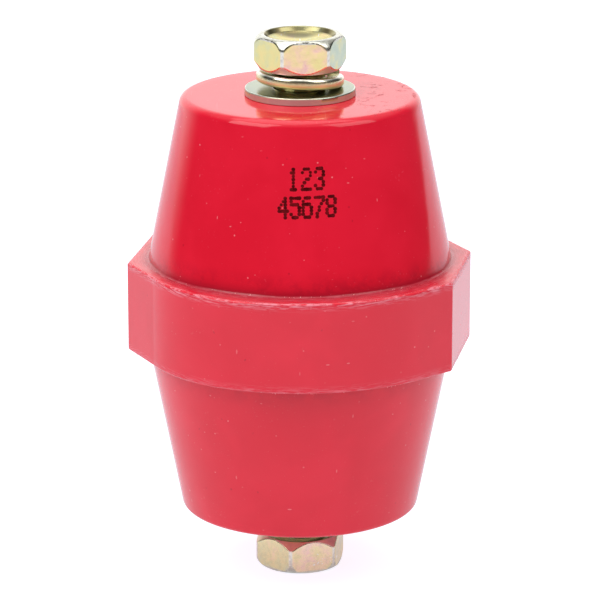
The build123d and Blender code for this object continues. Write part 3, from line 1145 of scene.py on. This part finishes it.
# %% Crumbs of flash along the collar
def make_crumb_tree():
    """Small irregular crumbs scattered along a line."""
    tree, given, result = new_geometry_tree("flash_crumbs", [
        ("Spacing", "NodeSocketFloat", 0.0004), ("Keep", "NodeSocketFloat", 0.3),
        ("Crumb radius", "NodeSocketFloat", 0.00008), ("Stray", "NodeSocketFloat", 0.00012),
        ("Seed", "NodeSocketInt", 7), ("Material", "NodeSocketMaterial", None),
    ])
    curve = tree.nodes.new("GeometryNodeMeshToCurve")
    link(tree, given["Geometry"], curve.inputs["Mesh"])
    points = tree.nodes.new("GeometryNodeCurveToPoints")
    points.mode = "LENGTH"
    link(tree, curve.outputs["Curve"], points.inputs["Curve"])
    link(tree, given["Spacing"], points.inputs["Length"])

    def random_number(kind, low, high, offset):
        node = tree.nodes.new("FunctionNodeRandomValue")
        node.data_type = kind
        first = 0 if kind == "FLOAT_VECTOR" else 2
        node.inputs[first].default_value, node.inputs[first + 1].default_value = low, high
        seed = plus(tree, given["Seed"], float(offset))
        link(tree, seed, node.inputs["Seed"])
        return node.outputs[0 if kind == "FLOAT_VECTOR" else 1]

    clump = tree.nodes.new("ShaderNodeTexNoise")
    clump.inputs["Scale"].default_value = 260.0
    link(tree, tree.nodes.new("GeometryNodeInputPosition").outputs[0], clump.inputs["Vector"])
    chance = plus(tree, random_number("FLOAT", 0.0, 1.0, 1), clump.outputs["Fac"])
    chance = maths(tree, "SUBTRACT", chance, 0.5)
    drop = tree.nodes.new("GeometryNodeDeleteGeometry")
    drop.domain = "POINT"
    link(tree, points.outputs["Points"], drop.inputs["Geometry"])
    link(tree, maths(tree, "GREATER_THAN", chance, given["Keep"]), drop.inputs["Selection"])
    stray = tree.nodes.new("ShaderNodeVectorMath")
    stray.operation = "SCALE"
    link(tree, random_number("FLOAT_VECTOR", (-1, -1, -1), (1, 1, 1), 2), stray.inputs[0])
    link(tree, given["Stray"], stray.inputs["Scale"])
    move = tree.nodes.new("GeometryNodeSetPosition")
    link(tree, drop.outputs["Geometry"], move.inputs["Geometry"])
    link(tree, stray.outputs["Vector"], move.inputs["Offset"])
    crumb = tree.nodes.new("GeometryNodeMeshIcoSphere")
    crumb.inputs["Subdivisions"].default_value = 1
    link(tree, given["Crumb radius"], crumb.inputs["Radius"])
    place = tree.nodes.new("GeometryNodeInstanceOnPoints")
    link(tree, move.outputs["Geometry"], place.inputs["Points"])
    link(tree, crumb.outputs["Mesh"], place.inputs["Instance"])
    turn = random_number("FLOAT_VECTOR", (0, 0, 0), (6.3, 6.3, 6.3), 3)
    link(tree, turn, place.inputs["Rotation"])
    size = random_number("FLOAT_VECTOR", (0.4, 0.4, 0.4), (1.6, 1.0, 1.2), 4)
    link(tree, size, place.inputs["Scale"])
    close_tree(tree, place.outputs["Instances"], given["Material"], result)
    return tree


def make_flash():
    """Pale broken polyester, rough."""
    material, tree, shader, place = new_material("broken_flash", IOR=1.5)
    patch = noise(tree, place, 3000.0, detail=2.0)
    bleached = smooth_step(tree, patch, 0.3, 0.7)
    colour = colour_mix(tree, bleached, (0.86, 0.20, 0.23), (0.93, 0.62, 0.62))
    link(tree, colour, shader.inputs["Base Color"])
    link(tree, smooth_step(tree, patch, 0.2, 0.8, 0.4, 0.7), shader.inputs["Roughness"])
    link(tree, bumped(tree, patch, 0.00001), shader.inputs["Normal"])
    return material


def line_round(radii, height):
    """A closed line of points at those radii and that height."""
    mesh = bpy.data.meshes.new("line")
    ring = rings_about_axis(ANGLES, [radii], [height])[0]
    count = len(ring)
    mesh.from_pydata(ring.tolist(), [(k, (k + 1) % count) for k in range(count)], [])
    return mesh


def make_crumbs(name, radii, height, keep, size, stray, seed):
    """One line of crumbs as a piece of the body."""
    made = run_tree(line_round(radii, height), crumb_tree, Spacing=0.22 * MM, Keep=keep,
                    Crumb_radius=size * MM, Stray=stray * MM, Seed=seed, Material=broken_flash)
    return finish_piece(name, made, broken_flash, "insulator", smooth_deg=20)


crumb_tree, broken_flash = make_crumb_tree(), make_flash()
ROOT_RADIUS = END_RADIUS + (BODY_HALF - COLLAR_HALF) * math.tan(SLOPE) + 0.16 * MM
RIM_RADII = COLLAR - 0.1 * MM
COLLAR_TOP, COLLAR_UNDER = MIDDLE + COLLAR_HALF, MIDDLE - COLLAR_HALF
for name, radii, height, keep, size, stray, seed in (
    ("flash_upper_root", ROOT_RADIUS, COLLAR_TOP + 0.03 * MM, 0.13, 0.06, 0.22, 7),
    ("flash_upper_rim", RIM_RADII, COLLAR_TOP - 0.08 * MM, 0.08, 0.055, 0.10, 11),
    ("flash_lower_rim", RIM_RADII, COLLAR_UNDER + 0.08 * MM, 0.05, 0.05, 0.06, 17),
    ("flash_lower_root", ROOT_RADIUS, COLLAR_UNDER - 0.03 * MM, 0.05, 0.05, 0.08, 23),
):
    make_crumbs(name, radii, height, keep, size, stray, seed)


# %% [markdown]
# The studio is a round white table under soft light. Metal and gloss show what is round them,
# so the room matters as much as the lamps: it is white behind and above the object, and dim
# in front of it, which leaves the front of the upper cone a deep, clear red. The table glows
# a little by itself, because a real one is lit from all sides by more than three lamps.

# %% Floor, room and lamps
def make_floor():
    """A plain pale disc that is clear from below, so the underside can be looked at."""
    bpy.ops.mesh.primitive_circle_add(vertices=96, radius=0.66, fill_type="NGON")
    floor = bpy.context.object
    floor.name = "studio_floor"
    material = bpy.data.materials.new("pale_floor")
    material.use_nodes = True
    tree = material.node_tree
    tree.nodes.clear()
    kinds = ("BsdfDiffuse", "BsdfTransparent", "NewGeometry", "MixShader", "Emission", "AddShader",
             "OutputMaterial")
    paper, clear, side, mix, lift, both, output = [tree.nodes.new("ShaderNode" + k) for k in kinds]
    paper.inputs["Color"].default_value = (0.45, 0.45, 0.50, 1)
    seen = tree.nodes.new("ShaderNodeLightPath").outputs["Is Camera Ray"]
    link(tree, smooth_step(tree, seen, 0.0, 1.0, 0.50, 0.85), lift.inputs["Strength"])
    lift.inputs["Color"].default_value = (0.93, 0.93, 1.0, 1)
    link(tree, paper.outputs[0], both.inputs[0])
    link(tree, lift.outputs[0], both.inputs[1])
    link(tree, side.outputs["Backfacing"], mix.inputs[0])
    link(tree, both.outputs[0], mix.inputs[1])
    link(tree, clear.outputs[0], mix.inputs[2])
    link(tree, mix.outputs[0], output.inputs["Surface"])
    floor.data.materials.append(material)


def make_room():
    """World light: white behind and above, dim in front; plain white where the camera looks."""
    world = bpy.data.worlds.new("studio_room")
    bpy.context.scene.world = world
    world.use_nodes = True
    tree = world.node_tree
    tree.nodes.clear()
    x, y, z = split_xyz(tree, tree.nodes.new("ShaderNodeTexCoord").outputs["Generated"])
    tilted = maths(tree, "SUBTRACT", y, times(tree, x, 0.17))
    behind = smooth_step(tree, tilted, 0.44, 0.93, 0.0, 1.60)
    above = smooth_step(tree, z, 0.36, 0.80, 0.0, 0.80)
    level = plus(tree, maths(tree, "MAXIMUM", behind, above), 0.07)
    seen = tree.nodes.new("ShaderNodeLightPath").outputs["Is Camera Ray"]
    strength = tree.nodes.new("ShaderNodeMix")
    link(tree, seen, strength.inputs[0])
    link(tree, level, strength.inputs[2])
    strength.inputs[3].default_value = 1.1
    glow = tree.nodes.new("ShaderNodeBackground")
    output = tree.nodes.new("ShaderNodeOutputWorld")
    link(tree, strength.outputs[0], glow.inputs["Strength"])
    link(tree, glow.outputs[0], output.inputs["Surface"])


def make_lamp(name, place, aim, size, watts):
    """A square soft box that lights the object but is not seen by the camera."""
    lamp = bpy.data.lights.new(name, "AREA")
    lamp.shape, lamp.size, lamp.energy = "SQUARE", size, watts
    holder = bpy.data.objects.new(name, lamp)
    bpy.context.scene.collection.objects.link(holder)
    holder.location = place
    holder.rotation_euler = (Vector(aim) - Vector(place)).to_track_quat("-Z", "Y").to_euler()
    holder.visible_camera = False


make_floor()
make_room()
centre = (0, 0, MIDDLE)
make_lamp("soft_box_left", (-0.95, -0.75, 0.95), centre, 1.1, 10.6)
make_lamp("soft_box_right", (1.0, -0.65, 0.95), centre, 1.1, 7.2)
make_lamp("soft_box_above", (-0.1, 0.1, 1.3), centre, 1.2, 6.6)

# %% [markdown]
# The camera stands half a metre away with a long lens, sixteen degrees above the level of the
# object's middle and looking straight at it.

# %% Camera
camera = bpy.data.objects.new("camera", bpy.data.cameras.new("camera"))
bpy.context.scene.collection.objects.link(camera)
camera.data.lens, camera.data.sensor_width = 234.6, 36.0
camera.data.clip_start, camera.data.clip_end = 0.01, 20.0
distance, height_angle = 0.5551, math.radians(16.04)
outward = Vector((0, -math.cos(height_angle), math.sin(height_angle)))
camera.location = Vector(centre) + distance * outward
camera.rotation_euler = (-outward).to_track_quat("-Z", "Y").to_euler()
bpy.context.scene.camera = camera
